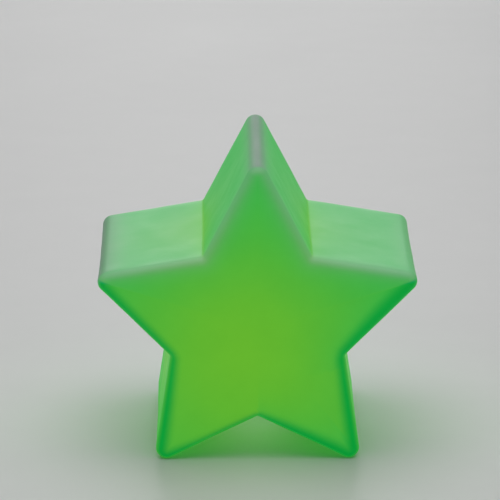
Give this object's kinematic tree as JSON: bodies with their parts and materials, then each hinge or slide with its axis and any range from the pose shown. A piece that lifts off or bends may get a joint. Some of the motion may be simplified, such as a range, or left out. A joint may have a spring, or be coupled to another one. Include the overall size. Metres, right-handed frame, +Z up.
{
  "type": "star-shaped LED mood light",
  "caption": "Battery mood light in the shape of a thick hollow five-pointed star that stands on two points, with a press-in light module in its back.",
  "frame": {"origin": "on the standing surface, under the middle of the star, halfway through its depth", "axes": "+Z up; -Y is the front face that glows, +Y the back with the module; +X to the right seen from the front"},
  "size_m": [0.11, 0.0776, 0.1046],
  "materials": {
    "soft_vinyl": "soft satin vinyl, milky",
    "white_abs": "fine spark texture",
    "white_abs_door": "fine spark texture",
    "frosted_clear": "frosted",
    "zinc_screw": "zinc plated",
    "black_rubber": "matte",
    "cell_steel": "nickel plated",
    "nickel_wire": "nickel plated",
    "nickel_strip": "nickel plated",
    "green_board": "solder mask",
    "led_epoxy": "clear epoxy",
    "tinned_wire": "tinned",
    "white_nylon": "as moulded",
    "black_epoxy": "matte epoxy",
    "tan_ceramic": "matte",
    "grey_switch": "as moulded",
    "button_abs": "polished",
    "black_sleeve": "satin",
    "red_sleeve": "satin"
  },
  "bodies": {
    "shade": {"star_shade": "soft_vinyl"},
    "light_module": {"module_housing": "white_abs", "inner_cover": "white_abs", "diffuser_dome": "frosted_clear", "cover_screws": "zinc_screw", "button_cell_1": "cell_steel", "button_cell_2": "cell_steel", "button_cell_3": "cell_steel", "negative_spring": "nickel_wire", "negative_contact": "nickel_strip", "positive_contact": "nickel_strip", "circuit_board": "green_board", "rgb_led": "led_epoxy", "led_leads": "tinned_wire", "led_spacer": "white_nylon", "controller_chip": "black_epoxy", "chip_legs": "tinned_wire", "resistors": "black_epoxy", "capacitor": "tan_ceramic", "switch_body": "grey_switch", "switch_pins": "tinned_wire", "black_wire": "black_sleeve", "red_wire": "red_sleeve"},
    "door": {"battery_door": "white_abs_door"},
    "left_screw": {"door_screw_left": "zinc_screw", "screw_ring_left": "black_rubber"},
    "right_screw": {"door_screw_right": "zinc_screw", "screw_ring_right": "black_rubber"},
    "button": {"push_button": "button_abs"},
    "plunger": {"switch_plunger": "white_nylon"}
  },
  "joints": [
    {"name": "module_pull", "type": "slide", "parent": "shade", "child": "light_module", "axis": [0, 1, 0], "range_m": [0, 0.04]},
    {"name": "door_lift", "type": "slide", "parent": "light_module", "child": "door", "axis": [0, 1, 0], "range_m": [0, 0.015]},
    {"name": "left_screw_out", "type": "slide", "parent": "door", "child": "left_screw", "axis": [0, 1, 0], "range_m": [0, 0.0029]},
    {"name": "right_screw_out", "type": "slide", "parent": "door", "child": "right_screw", "axis": [0, 1, 0], "range_m": [0, 0.0029]},
    {"name": "button_press", "type": "slide", "parent": "light_module", "child": "button", "axis": [0, -1, 0], "range_m": [0, 0.0012], "stiffness_N_per_m": 1200, "springref_m": -0.0004},
    {"name": "plunger_press", "type": "slide", "parent": "light_module", "child": "plunger", "axis": [0, -1, 0], "range_m": [0, 0.0012]}
  ],
  "couplings": [
    {"joint": "plunger_press", "follows": "button_press", "ratio": 1}
  ]
}
